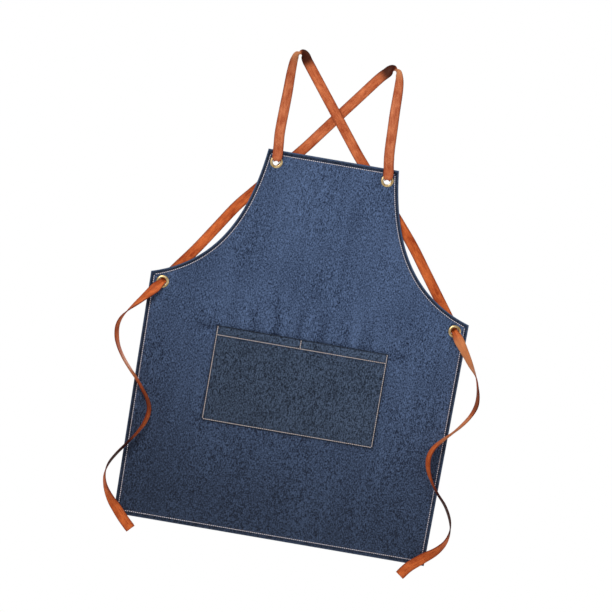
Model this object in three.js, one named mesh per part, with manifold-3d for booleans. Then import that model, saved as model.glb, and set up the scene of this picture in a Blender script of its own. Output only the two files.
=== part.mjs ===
// A denim bib apron with two crossed leather straps, hanging by its shoulder loops.
// Millimetres, +Z up. The front faces -Y and +X is to the right as seen from the front.
// The origin lies midway between the tops of the two loops, in the plane of the cloth.
// Each strap is sewn round the bib's top edge through one eyelet, rises in front, turns over
// at the loop, runs down behind the bib and out through the waist eyelet on the other side.
// The free end that hangs from there, the tie, is a node of its own because it swings.

import * as THREE from "three";
import Module from "manifold-3d";
import { mergeVertices } from "three/addons/utils/BufferGeometryUtils.js";

const wasm = await Module();
wasm.setup();

// ---------- driving dimensions ----------

const GAP = 0.3; // clearance between pieces that touch

// cloth panel
const BIB_TOP = -216; // height of the bib's top edge
const BIB_HALF = 140; // half the bib's width
const WAIST = -513; // height of the corner between armhole and side
const WAIST_HALF = 341;
const BOTTOM = -1031;
const BOTTOM_HALF = 333;
const ARMHOLE_HANDLES = [[155, -350], [200, -470]]; // Bezier handles of the armhole curve
const CLOTH = 1.2; // thickness of one layer
const CLOTH_FRONT = -CLOTH / 2;
const CLOTH_BACK = CLOTH / 2;
const HEM_WIDTH = 13;
const CORNER_EASE = 1; // an inset bib corner stands this much wider, where the armhole leans out
const HEM_FOLD = 1.6; // the turned-in layers, which lie on the back

// pocket
const POCKET_HALF = 184;
const POCKET_TOP = -602.5;
const POCKET_BOTTOM = -805;
const POCKET_THICK = 1.8;
const POCKET_HEM = 20; // from the mouth down to the hem's stitch line
const POCKET_FIELD = 6; // border that the edge stitching runs in
const POCKET_BACK = CLOTH_FRONT - GAP;
const POCKET_FRONT = POCKET_BACK - POCKET_THICK;

// stitching
const THREAD = 1; // width of a stitch line
const THREAD_RISE = 0.6;
const TOP_INSET = 10; // stitch line from the bib's top edge
const SIDE_INSET = 8;
const BOTTOM_INSET = 9;
const POCKET_INSET = 2;
const TACK_LEFT = -3; // the pocket's centre tack, measured from the middle
const LINE_GAP = 0.5; // between the ends of two stitch lines
const LINE_STOP = 2; // a stitch line stops this far short of the cloth's edge
const BOX_STITCH = { width: 14, height: 11, line: 1.1, left: -120.3, right: 116.2, z: -204 };
const CROSS_ARM = [1.3, 1.1]; // room for the cross in the box's corners, in line widths

// eyelets
const BIB_EYELET = [119, -241]; // x, z of the right one
const WAIST_EYELET = [313.5, -531];
const HOLE = 7.8; // inner radius
const BARREL = 8.8;
const FLANGE = 13.5;
const LIP = 10.4;
const WASHER_THICK = 0.8;
const ROUND_STEPS = 28;
const HEM_BACK = CLOTH_BACK + HEM_FOLD;

// straps
const STRAP_THICK = 2.4;
const STRAP_DEPTH = -4.4; // middle of the straps just above the bib, in front of the cloth
const STEPS_PER_SPAN = 2;

// A route's rows are [x, y, z, turn, width]. Turn is in degrees: at 0 the strap lies flat to the
// front, at 90 it stands on edge, and at 180 it shows its other face.
// The strap that is sewn to the bib's left corner.
const LEFT_STRAP = [
  [-121.4, -1.5, -191, 0, 22], [-120.4, -1.5, -204, 0, 22], [-120, -0.6, -209, 0, 22],
  [-119.7, 2.2, -213, 0, 22], [-119.4, 4.5, -217.5, 0, 21], [-119, 6.6, -226, 0, 18],
  [-119, 7, -232, 0, 15], [-119, 5.9, -237, 0, 13], [-119, 3.2, -238.8, 0, 12.6],
  [-119, -0.8, -238.8, 0, 12.6], [-119, -3.7, -238, 0, 12.6], [-119, -5.2, -234.5, 0, 18.5],
  [-119, -5.3, -229, 0, 21], [-119.3, -4.7, -219, 0, 21.5], [-120.3, -4.4, -205, 0, 22],
  [-122.2, -4.4, -180, 0, 22], [-121.4, -3.8, -130, 5, 22], [-120.4, -1.6, -94, 16, 22],
  [-119.8, 1.4, -41, 33, 22], [-117.8, 3.2, -20, 46, 22], [-112.5, 5.4, -9.2, 62, 22],
  [-104.5, 6.6, -5.4, 124, 22], [-97.5, 7.4, -9.4, 154, 22], [-90.5, 7.8, -19.5, 169, 22],
  [-80, 7.4, -33, 174, 22], [-45, 6.4, -78, 180, 22], [-8, 6, -125.5, 180, 22],
  [25, 6, -168, 180, 22], [51, 6, -201, 180, 22], [84, 6.2, -239, 180, 22],
  [120, 6.4, -280, 180, 22], [160, 6.6, -326, 180, 22], [198, 6.8, -371.5, 180, 22],
  [229, 7, -414, 180, 22], [260, 7.3, -456.5, 180, 22], [291, 7.6, -499, 180, 22],
  [303.8, 7.8, -517, 180, 21], [308.6, 7.6, -524, 180, 18.5], [311.2, 6.4, -527.7, 180, 15.5],
  [312.8, 4.4, -530, 180, 14.2], [313.5, 2.4, -531, 180, 14.2], [313.5, 1.2, -531, 180, 14.2],
];

// The strap that is sewn to the bib's right corner. It passes behind the other one.
const RIGHT_STRAP = [
  [114.6, -1.5, -191, 0, 22], [115.9, -1.5, -204, 0, 22], [116.6, 0, -209, 0, 22],
  [117.3, 3.1, -213, 0, 22], [118, 5.2, -217.5, 0, 21], [119, 6.6, -226, 0, 18],
  [119, 7, -232, 0, 15], [119, 5.9, -237, 0, 13], [119, 3.2, -238.8, 0, 12.6],
  [119, -0.8, -238.8, 0, 12.6], [119, -3.7, -238, 0, 12.6], [119, -5.2, -234.5, 0, 18.5],
  [119, -5.3, -229, 0, 21], [118.2, -4.7, -219, 0, 21.5], [116, -4.4, -205, 0, 22],
  [113.4, -4.4, -180, 0, 22], [111.6, -3.8, -130, -5, 22], [110.4, -1.8, -96, -13, 22],
  [109.6, 1.2, -43, -29, 22], [107.3, 3.2, -22, -46, 22], [101.8, 5.4, -10.4, -62, 22],
  [93.5, 6.8, -6.2, -124, 22], [86.5, 8.2, -9.2, -154, 22], [79.5, 9.2, -16.5, -169, 22],
  [69, 9.8, -27, -174, 22], [32, 10.4, -75, -180, 22], [-7, 10.6, -126, -180, 22],
  [-38, 10.6, -167, -180, 22], [-63.5, 10.6, -200.5, -180, 22], [-93, 10.2, -236, -180, 22],
  [-124, 9.6, -273, -180, 22], [-155, 9, -310, -180, 22], [-186, 8.4, -347.5, -180, 22],
  [-221, 8, -400, -180, 22], [-256, 7.6, -452.5, -180, 22], [-290, 7.6, -498, -180, 22],
  [-303.6, 7.8, -517, -180, 21], [-308.5, 7.6, -524, -180, 18.5], [-311.1, 6.4, -527.7, -180, 15.5],
  [-312.8, 4.4, -530, -180, 14.2], [-313.5, 2.4, -531, -180, 14.2], [-313.5, 1.2, -531, -180, 14.2],
];

// The free end of the right strap, out of the left waist eyelet.
const LEFT_TIE = [
  [-313.5, 0.85, -531, 0, 14.2], [-313.5, -0.6, -531, 0, 14.2], [-314.8, -3.2, -532.7, 0, 14.2],
  [-317, -5.2, -535.4, 0, 15.4], [-321.5, -6.4, -540.8, -8, 18.4], [-327, -7.6, -547.4, -18, 21],
  [-336, -9.6, -558, -36, 22], [-347, -12, -571, -53, 22], [-360, -13.4, -586, -67, 22],
  [-377, -14.4, -606, -90, 22], [-387, -14.4, -621.5, -103, 22], [-391.5, -14.2, -640, -111, 22],
  [-389, -14, -662, -113, 22], [-382.5, -14.2, -680, -108, 22], [-369, -14.4, -702, -105, 22],
  [-350, -14.4, -724.5, -104, 22], [-333, -14.4, -742.5, -103, 22], [-316.5, -14.4, -763, -104, 22],
  [-302.5, -14.2, -782.5, -107, 22], [-295.5, -14, -803, -111, 22], [-299, -14, -828, -110, 22],
  [-312, -14.4, -855, -100, 22], [-330, -14.6, -881, -100, 22], [-348.5, -14.6, -907, -101, 22],
  [-361.5, -14.4, -931.5, -97, 22], [-365, -14.2, -954.5, -83, 22], [-359.5, -13.6, -976.5, -70, 22],
  [-344.5, -11.4, -1001.5, -44, 22], [-328, -8.2, -1020, -18, 22], [-310, -6.4, -1040, -4, 22],
  [-291.5, -6, -1058, 0, 22],
];

// The free end of the left strap, out of the right waist eyelet.
const RIGHT_TIE = [
  [313.5, 0.85, -531, 0, 14.2], [313.5, -0.6, -531, 0, 14.2], [314.8, -3.2, -532.7, 0, 14.2],
  [316.8, -5.2, -535.5, 0, 15.4], [320.6, -6.4, -541, 8, 18.4], [327, -7.8, -550, 18, 21],
  [338, -9.8, -565, 36, 22], [348.5, -12, -580, 50, 22], [358.5, -13.2, -595, 62, 22],
  [374.5, -14.4, -619, 90, 22], [381.5, -14.4, -640, 97, 22], [385.5, -14.2, -660, 106, 22],
  [385, -14, -680, 112, 22], [376.5, -14.2, -702.5, 108, 22], [361.5, -14.4, -725, 104, 22],
  [345, -14.4, -744, 98, 22], [327, -14.4, -762.5, 106, 22], [311, -14.2, -782.5, 113, 22],
  [304.5, -13.8, -803, 116, 22], [307.5, -13.8, -827, 112, 22], [320.5, -14.4, -854.5, 99, 22],
  [336.5, -14.6, -876, 99, 22], [356, -14.6, -898.5, 101, 22], [370.5, -14.4, -925.5, 99, 22],
  [375, -14.2, -948, 88, 22], [370, -13.8, -972.5, 70, 22], [354.5, -11.6, -994.5, 46, 22],
  [326.5, -8, -1017, 14, 22], [300.5, -6.4, -1039.5, 3, 22], [285.5, -6, -1059, 0, 22],
];

// ---------- materials ----------

const material = (color, roughness, metalness = 0) =>
  new THREE.MeshStandardMaterial({ color, roughness, metalness });
const DENIM = material(0x37476a, 0.9);
const POCKET_DENIM = material(0x34475c, 0.9);
const LEATHER = material(0xb85f2e, 0.55);
const TAN_THREAD = material(0xa98b78, 0.8);
const STRAP_THREAD = material(0x8a3f1c, 0.7);
const BRASS = material(0xd8bf7a, 0.3, 1);

// ---------- shape helpers ----------

const apron = new THREE.Group();

function add(name, geometry, look) {
  const mesh = new THREE.Mesh(geometry, look);
  mesh.name = name;
  apron.add(mesh);
  return mesh;
}

// A closed solid for joining and cutting, from a geometry.
function solidOf(geometry) {
  const bare = geometry.clone();
  bare.deleteAttribute("normal");
  bare.deleteAttribute("uv");
  const merged = mergeVertices(bare, 1e-4);
  return new wasm.Manifold(
    new wasm.Mesh({
      numProp: 3,
      vertProperties: merged.attributes.position.array,
      triVerts: new Uint32Array(merged.index.array),
    }),
  );
}

function geometryOf(solid) {
  const { vertProperties, triVerts } = solid.getMesh();
  const geometry = new THREE.BufferGeometry();
  geometry.setAttribute("position", new THREE.BufferAttribute(vertProperties, 3));
  geometry.setIndex(new THREE.BufferAttribute(triVerts, 1));
  geometry.computeVertexNormals();
  return geometry;
}

// A shape drawn in x and z, made thick between two depths.
function slab(shape, front, back) {
  const geometry = new THREE.ExtrudeGeometry(shape, {
    depth: back - front,
    bevelEnabled: false,
    curveSegments: 1,
  });
  return geometry.rotateX(Math.PI / 2).translate(0, back, 0);
}

// A closed surface from rings of points, with flat ends.
function loft(rings) {
  const around = rings[0].length;
  const vertices = rings.flat().flatMap((p) => [p.x, p.y, p.z]);
  const triangles = [];
  for (let i = 0; i < rings.length - 1; i++) {
    for (let j = 0; j < around; j++) {
      const a = i * around + j;
      const b = i * around + ((j + 1) % around);
      triangles.push(a, b, b + around, a, b + around, a + around);
    }
  }
  const last = (rings.length - 1) * around;
  for (let j = 1; j < around - 1; j++) {
    triangles.push(0, j + 1, j, last, last + j, last + j + 1);
  }
  const geometry = new THREE.BufferGeometry();
  geometry.setAttribute("position", new THREE.Float32BufferAttribute(vertices, 3));
  geometry.setIndex(triangles);
  geometry.computeVertexNormals();
  return geometry;
}

const FRONTWARD = new THREE.Vector3(0, -1, 0);

// The direction across each place on a route, as seen from the front, kept steady where the
// route runs straight to the front or back.
function acrossDirections(tangents) {
  const flat = tangents.map((t) => new THREE.Vector3(t.z, 0, -t.x));
  const STEADY = 0.05;
  let last = flat.find((a) => a.length() > STEADY).clone().normalize();
  return flat.map((a) => {
    if (a.length() > STEADY) {
      const next = a.clone().normalize();
      last = next.dot(last) < 0 ? next.negate() : next;
    }
    return last.clone();
  });
}

// A flat strap that follows a route of [x, y, z, turn, width] rows.
function ribbon(route, thickness, stepsPerSpan) {
  const curve = new THREE.CatmullRomCurve3(route.map(([x, y, z]) => new THREE.Vector3(x, y, z)));
  const spans = route.length - 1;
  const steps = spans * stepsPerSpan;
  const places = Array.from({ length: steps + 1 }, (_, i) => i / steps);
  const tangents = places.map((u) => curve.getTangent(u));
  const across = acrossDirections(tangents);
  const rings = places.map((u, i) => {
    const span = Math.min(Math.floor(u * spans), spans - 1);
    const part = u * spans - span;
    const between = (k) => THREE.MathUtils.lerp(route[span][k], route[span + 1][k], part);
    const turn = THREE.MathUtils.degToRad(between(3));
    const edge = across[i].multiplyScalar(Math.cos(turn)).addScaledVector(FRONTWARD, Math.sin(turn));
    edge.addScaledVector(tangents[i], -edge.dot(tangents[i])).normalize();
    const half = edge.clone().multiplyScalar(between(4) / 2);
    const rise = tangents[i].clone().cross(edge).multiplyScalar(thickness / 2);
    const corner = (s, r) => curve.getPoint(u).addScaledVector(half, s).addScaledVector(rise, r);
    return [corner(-1, -1), corner(1, -1), corner(1, 1), corner(-1, 1)];
  });
  return loft(rings);
}

// A stitch line along [x, z] points, lying on a face at the given depth.
function stitchLine(points, face) {
  const depth = face - GAP - THREAD_RISE / 2;
  const route = points.map(([x, z]) => [x, depth, z, 0, THREAD]);
  return ribbon(route, THREAD_RISE, 1);
}

// ---------- cloth panel ----------

const ARMHOLE_STEPS = 14;

// The armhole's edge from the bib's corner to the waist's corner, moved inwards by an inset.
function armhole(side, inset) {
  const [first, second] = ARMHOLE_HANDLES;
  const curve = new THREE.CubicBezierCurve(
    new THREE.Vector2(BIB_HALF, BIB_TOP),
    new THREE.Vector2(...first),
    new THREE.Vector2(...second),
    new THREE.Vector2(WAIST_HALF, WAIST),
  );
  return Array.from({ length: ARMHOLE_STEPS + 1 }, (_, i) => {
    const point = curve.getPoint(i / ARMHOLE_STEPS);
    const along = curve.getTangent(i / ARMHOLE_STEPS);
    return [side * (point.x + along.y * inset), point.y - along.x * inset];
  });
}

// x of the panel's straight side at a height, moved inwards by an inset.
const sideAt = (z, inset) =>
  THREE.MathUtils.mapLinear(z, WAIST, BOTTOM, WAIST_HALF, BOTTOM_HALF) - inset;

// The panel's outline moved inwards all round.
function panelShape(inset) {
  const top = BIB_TOP - inset;
  const bottom = BOTTOM + inset;
  const rightArm = armhole(1, inset).filter(([x, z]) => z < top && x < sideAt(z, inset));
  const leftArm = rightArm.map(([x, z]) => [-x, z]).reverse();
  const bibHalf = inset > 0 ? BIB_HALF - inset + CORNER_EASE : BIB_HALF;
  const waist = rightArm.at(-1)[1] - 1;
  return new THREE.Shape(
    [
      [-bibHalf, top],
      [bibHalf, top],
      ...rightArm,
      [sideAt(waist, inset), waist],
      [sideAt(bottom, inset), bottom],
      [-sideAt(bottom, inset), bottom],
      [-sideAt(waist, inset), waist],
      ...leftArm,
    ].map(([x, z]) => new THREE.Vector2(x, z)),
  );
}

function eyeletPlaces() {
  const places = [];
  for (const [name, [x, z]] of [["bib", BIB_EYELET], ["waist", WAIST_EYELET]]) {
    places.push({ name: `${name}_left`, x: -x, z });
    places.push({ name: `${name}_right`, x, z });
  }
  return places;
}

function panelGeometry() {
  const MARGIN = 1; // the cutters run past both faces
  const cloth = solidOf(slab(panelShape(0), CLOTH_FRONT, CLOTH_BACK));
  const folded = solidOf(slab(panelShape(0), CLOTH_BACK - GAP, HEM_BACK));
  const inner = solidOf(slab(panelShape(HEM_WIDTH), CLOTH_BACK - 2 * GAP, HEM_BACK + MARGIN));
  let panel = cloth.add(folded.subtract(inner));
  for (const { x, z } of eyeletPlaces()) {
    const punch = new THREE.CylinderGeometry(BARREL + GAP, BARREL + GAP, HEM_BACK * 4, ROUND_STEPS);
    panel = panel.subtract(solidOf(punch.translate(x, 0, z)));
  }
  return geometryOf(panel);
}

// ---------- pocket ----------

// A flat slab whose two faces are divided at the given x and z, so that the middle field is whole.
function fieldSlab(xs, zs, front, back) {
  const vertices = [];
  const triangles = [];
  const columns = xs.length;
  const rows = zs.length;
  for (const y of [front, back]) {
    for (const z of zs) {
      for (const x of xs) vertices.push(x, y, z);
    }
  }
  const index = (face, row, column) => (face * rows + row) * columns + column;
  const quad = (a, b, c, d) => triangles.push(a, b, c, a, c, d);
  for (let r = 0; r < rows - 1; r++) {
    for (let c = 0; c < columns - 1; c++) {
      quad(index(0, r, c), index(0, r, c + 1), index(0, r + 1, c + 1), index(0, r + 1, c));
      quad(index(1, r, c), index(1, r + 1, c), index(1, r + 1, c + 1), index(1, r, c + 1));
    }
  }
  for (let c = 0; c < columns - 1; c++) {
    quad(index(1, 0, c), index(1, 0, c + 1), index(0, 0, c + 1), index(0, 0, c));
    const top = rows - 1;
    quad(index(0, top, c), index(0, top, c + 1), index(1, top, c + 1), index(1, top, c));
  }
  for (let r = 0; r < rows - 1; r++) {
    quad(index(1, r + 1, 0), index(1, r, 0), index(0, r, 0), index(0, r + 1, 0));
    const end = columns - 1;
    quad(index(1, r, end), index(1, r + 1, end), index(0, r + 1, end), index(0, r, end));
  }
  const geometry = new THREE.BufferGeometry();
  geometry.setAttribute("position", new THREE.Float32BufferAttribute(vertices, 3));
  geometry.setIndex(triangles);
  geometry.computeVertexNormals();
  return geometry;
}

function pocketGeometry() {
  const field = POCKET_HALF - POCKET_FIELD;
  const xs = [-POCKET_HALF, -field, field, POCKET_HALF];
  const zs = [
    POCKET_BOTTOM,
    POCKET_BOTTOM + POCKET_FIELD,
    POCKET_TOP - POCKET_HEM - POCKET_FIELD,
    POCKET_TOP,
  ];
  return fieldSlab(xs, zs, POCKET_FRONT, POCKET_BACK);
}

// ---------- eyelets ----------

// An eyelet's front flange, barrel and rolled lip in one closed profile of [radius, depth].
function eyeletGeometry() {
  const seat = CLOTH_FRONT - GAP;
  const lip = HEM_BACK + 2 * GAP + WASHER_THICK;
  const profile = [
    [HOLE, seat - 0.8], [HOLE + 0.7, seat - 1.4], [HOLE + 2.4, seat - 1.6], [FLANGE - 1.4, seat - 1.3],
    [FLANGE, seat - 0.4], [FLANGE, seat], [BARREL, seat], [BARREL, lip], [LIP, lip], [LIP, lip + 0.5],
    [LIP - 0.9, lip + 1], [HOLE + 0.6, lip + 0.9], [HOLE, lip + 0.4], [HOLE, seat - 0.8],
  ];
  return new THREE.LatheGeometry(profile.map(([r, y]) => new THREE.Vector2(r, y)), ROUND_STEPS);
}

function washerGeometry() {
  const front = HEM_BACK + GAP;
  const back = front + WASHER_THICK;
  const inner = BARREL + GAP;
  const outer = FLANGE - 0.3;
  const profile = [[inner, front], [outer, front], [outer, back], [inner, back], [inner, front]];
  return new THREE.LatheGeometry(profile.map(([r, y]) => new THREE.Vector2(r, y)), ROUND_STEPS);
}

// ---------- stitching ----------

// A square of stitches with a cross in it, which holds a strap's folded end.
function boxStitchGeometry(x, face) {
  const { width, height, line, z } = BOX_STITCH;
  const [armX, armZ] = CROSS_ARM;
  const outerX = width / 2;
  const outerZ = height / 2;
  const shape = new THREE.Shape([
    new THREE.Vector2(x - outerX, z - outerZ),
    new THREE.Vector2(x + outerX, z - outerZ),
    new THREE.Vector2(x + outerX, z + outerZ),
    new THREE.Vector2(x - outerX, z + outerZ),
  ]);
  const innerX = outerX - line;
  const innerZ = outerZ - line;
  const sides = [[0, -1], [1, 0], [0, 1], [-1, 0]];
  for (const [dx, dz] of sides) {
    // each window is a triangle between two arms of the cross
    const tip = new THREE.Vector2(x + dx * line, z + dz * line);
    const base = [-1, 1].map((s) =>
      new THREE.Vector2(
        x + dx * innerX + s * dz * (innerX - armX * line),
        z + dz * innerZ - s * dx * (innerZ - armZ * line),
      ));
    shape.holes.push(new THREE.Path([tip, ...base]));
  }
  return slab(shape, face - GAP - THREAD_RISE, face - GAP);
}

// A stitch line with square corners down one side of the pocket, along the bottom and up again.
function pocketEdgeGeometry() {
  const outer = POCKET_HALF - POCKET_INSET;
  const inner = outer - THREAD;
  const top = POCKET_TOP;
  const bottom = POCKET_BOTTOM + POCKET_INSET;
  const shape = new THREE.Shape(
    [
      [-outer, bottom], [outer, bottom], [outer, top], [inner, top],
      [inner, bottom + THREAD], [-inner, bottom + THREAD], [-inner, top], [-outer, top],
    ].map(([x, z]) => new THREE.Vector2(x, z)),
  );
  return slab(shape, POCKET_FRONT - GAP - THREAD_RISE, POCKET_FRONT - GAP);
}

function addStitching() {
  const onCloth = (name, points) => add(name, stitchLine(points, CLOTH_FRONT), TAN_THREAD);
  const onPocket = (name, points) => add(name, stitchLine(points, POCKET_FRONT), TAN_THREAD);
  const clear = THREAD / 2 + LINE_GAP;
  const topLine = BIB_TOP - TOP_INSET;
  const bottomLine = BOTTOM + BOTTOM_INSET;

  for (const [name, side] of [["left", -1], ["right", 1]]) {
    const arm = armhole(side, SIDE_INSET).filter(
      ([x, z]) => z < BIB_TOP - LINE_STOP && side * x < sideAt(z, SIDE_INSET) - clear,
    );
    onCloth(`thread_armhole_${name}`, arm);
    const sideTop = arm.at(-1)[1];
    onCloth(`thread_side_${name}`, [
      [side * sideAt(sideTop, SIDE_INSET), sideTop],
      [side * sideAt(BOTTOM + LINE_STOP, SIDE_INSET), BOTTOM + LINE_STOP],
    ]);
  }
  const topHalf = armhole(1, SIDE_INSET)[0][0] - clear;
  onCloth("thread_top", [[-topHalf, topLine], [topHalf, topLine]]);
  const bottomHalf = sideAt(bottomLine, SIDE_INSET) - clear;
  onCloth("thread_bottom", [[-bottomHalf, bottomLine], [bottomHalf, bottomLine]]);

  const hemLine = POCKET_TOP - POCKET_HEM;
  const hemHalf = POCKET_HALF - POCKET_INSET - THREAD - LINE_GAP;
  onPocket("thread_pocket_hem", [[-hemHalf, hemLine], [hemHalf, hemLine]]);
  add("thread_pocket_edge", pocketEdgeGeometry(), TAN_THREAD);
  onPocket("thread_pocket_tack", [[TACK_LEFT, POCKET_TOP], [TACK_LEFT, hemLine + clear]]);
}

// ---------- the whole apron ----------

add("denim_panel", panelGeometry(), DENIM);
add("pocket", pocketGeometry(), POCKET_DENIM);

for (const { name, x, z } of eyeletPlaces()) {
  add(`eyelet_${name}`, eyeletGeometry(), BRASS).position.set(x, 0, z);
  add(`washer_${name}`, washerGeometry(), BRASS).position.set(x, 0, z);
}

add("shoulder_strap_left", ribbon(LEFT_STRAP, STRAP_THICK, STEPS_PER_SPAN), LEATHER);
add("shoulder_strap_right", ribbon(RIGHT_STRAP, STRAP_THICK, STEPS_PER_SPAN), LEATHER);
add("tie_left", ribbon(LEFT_TIE, STRAP_THICK, STEPS_PER_SPAN), LEATHER);
add("tie_right", ribbon(RIGHT_TIE, STRAP_THICK, STEPS_PER_SPAN), LEATHER);

addStitching();

const strapFace = STRAP_DEPTH - STRAP_THICK / 2;
for (const side of ["left", "right"]) {
  add(`box_stitch_${side}`, boxStitchGeometry(BOX_STITCH[side], strapFace), STRAP_THREAD);
}

export default apron;
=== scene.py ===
"""A denim bib apron with crossed leather straps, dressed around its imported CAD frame.

Metres, +Z up, front towards -Y. Sizes are named in millimetres and turned to metres when a mesh is made.
"""
import math
import random

import bpy
import numpy as np
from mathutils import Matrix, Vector
from mathutils.geometry import delaunay_2d_cdt


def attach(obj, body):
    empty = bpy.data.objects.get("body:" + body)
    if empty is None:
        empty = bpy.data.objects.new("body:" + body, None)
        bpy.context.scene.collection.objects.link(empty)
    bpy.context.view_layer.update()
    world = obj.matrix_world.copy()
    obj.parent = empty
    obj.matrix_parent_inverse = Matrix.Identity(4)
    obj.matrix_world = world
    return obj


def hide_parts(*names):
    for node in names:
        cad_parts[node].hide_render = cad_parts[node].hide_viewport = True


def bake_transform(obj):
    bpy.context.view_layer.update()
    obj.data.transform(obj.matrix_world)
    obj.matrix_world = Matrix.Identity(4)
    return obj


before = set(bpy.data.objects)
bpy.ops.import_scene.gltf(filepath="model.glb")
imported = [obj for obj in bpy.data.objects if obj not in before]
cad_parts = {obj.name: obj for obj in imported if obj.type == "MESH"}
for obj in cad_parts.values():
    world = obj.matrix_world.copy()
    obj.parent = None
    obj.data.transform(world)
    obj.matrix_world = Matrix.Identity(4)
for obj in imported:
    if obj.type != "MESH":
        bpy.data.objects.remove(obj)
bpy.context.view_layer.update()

MM = 0.001
FRONT = np.array([0.0, -1.0, 0.0])
rng = random.Random(7)

# ---------- driving sizes, in millimetres ----------

# cloth panel
BIB_TOP, BIB_HALF = -216, 140
WAIST, WAIST_HALF = -513, 341
BOTTOM, BOTTOM_HALF = -1031, 333
ARMHOLE_HANDLES = ((155, -350), (200, -470))
CLOTH_FRONT, CLOTH_BACK, HEM_BACK = -0.6, 0.6, 2.2
HEM_WIDTH = 13.0
TOP_INSET, SIDE_INSET, BOTTOM_INSET = 10.0, 8.0, 9.0
OUTLINE_STEP = 3.4
CLOTH_STEP = 5.4

# pocket
POCKET_HALF = 184
POCKET_TOP, POCKET_BOTTOM = -602.5, -805
POCKET_FRONT, POCKET_BACK = -2.7, -0.9
POCKET_HEM = 20
POCKET_INSET = 2.5  # from the edge to the middle of the stitch line
TACK_X = -3
SEAM_X, SEAM_FOOT = POCKET_HALF - POCKET_INSET, POCKET_BOTTOM + POCKET_INSET
HEM_LINE = POCKET_TOP - POCKET_HEM

# eyelets
BIB_EYELET = (119, -241)
WAIST_EYELET = (313.5, -531)
HOLE, BARREL, FLANGE, LIP = 7.8, 8.8, 13.5, 10.4
LATHE_STEPS = 72

# straps
STRAP_HALF_THICK = 1.2
STRAP_WIDTH = 22
STRAP_DEPTH = -4.4  # middle of the straps just above the bib
STEPS_PER_SPAN = 6
FACE_POINTS = 13
EDGE_POINTS = 5
GATHERED = 12.6  # the width at which a strap curls most
MOST_CUP = 1.05  # half the angle that it curls through at that width
LOOP_CUP = 0.55  # and where it turns over at its loop
FULLNESS = 1.06  # a gathered strap is this many times as wide as its row says

# stitches
STITCH_PITCH, STITCH_LENGTH, STITCH_WIDTH, STITCH_RISE = 4.2, 3.1, 1.6, 0.62
BOX_WIDTH, BOX_HEIGHT, BOX_Z = 14, 11, -204
BOX_X = {"left": -120.3, "right": 116.2}
LINE_STEP = 3.0  # between the points of a stitch line on the pocket

# ---------- camera ----------

VIEW_TILT = math.radians(9.75)
VIEW_WIDTH = 1.2944
VIEW_CENTRE = (-0.0056, -3.0, -0.531)


def add_object(name, data):
    made = bpy.data.objects.new(name, data)
    bpy.context.scene.collection.objects.link(made)
    return made


def add_camera():
    data = bpy.data.cameras.new("camera")
    data.type = "ORTHO"
    data.ortho_scale = VIEW_WIDTH
    camera = add_object("camera", data)
    camera.location = VIEW_CENTRE
    camera.rotation_euler = (math.pi / 2, -VIEW_TILT, 0)
    bpy.context.scene.camera = camera


add_camera()

# ---------- mesh helpers ----------


def add_piece(name, points, faces, material, attributes=None):
    """A smooth mesh object from points in millimetres, with named values stored on its points."""
    mesh = bpy.data.meshes.new(name)
    mesh.from_pydata((np.asarray(points) * MM).tolist(), [], faces)
    mesh.polygons.foreach_set("use_smooth", [True] * len(mesh.polygons))
    for key, values in (attributes or {}).items():
        values = np.asarray(values, dtype=np.float32)
        kind = "FLOAT_VECTOR" if values.ndim == 2 else "FLOAT"
        attribute = mesh.attributes.new(key, kind, "POINT")
        attribute.data.foreach_set("vector" if values.ndim == 2 else "value", values.ravel())
    mesh.materials.append(material)
    mesh.update()
    return add_object(name, mesh)


def unit(vectors):
    return vectors / np.maximum(np.linalg.norm(vectors, axis=-1, keepdims=True), 1e-9)


def smoothstep(low, high, value):
    t = np.clip((value - low) / (high - low), 0, 1)
    return t * t * (3 - 2 * t)


def band(low, low_full, high_full, high, value):
    """1 from low_full to high_full, and 0 below low and above high."""
    return smoothstep(low, low_full, value) * (1 - smoothstep(high_full, high, value))


def lengths_along(points):
    steps = np.linalg.norm(np.diff(points, axis=0), axis=1)
    return np.concatenate([[0], np.cumsum(steps)])


def tube_faces(first, rings, around):
    """Quads that join each ring of points to the next."""
    faces = []
    for start in range(first, first + (rings - 1) * around, around):
        for k in range(around):
            a, b = start + k, start + (k + 1) % around
            faces.append((a, a + around, b + around, b))
    return faces


# ---------- material helpers ----------


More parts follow.
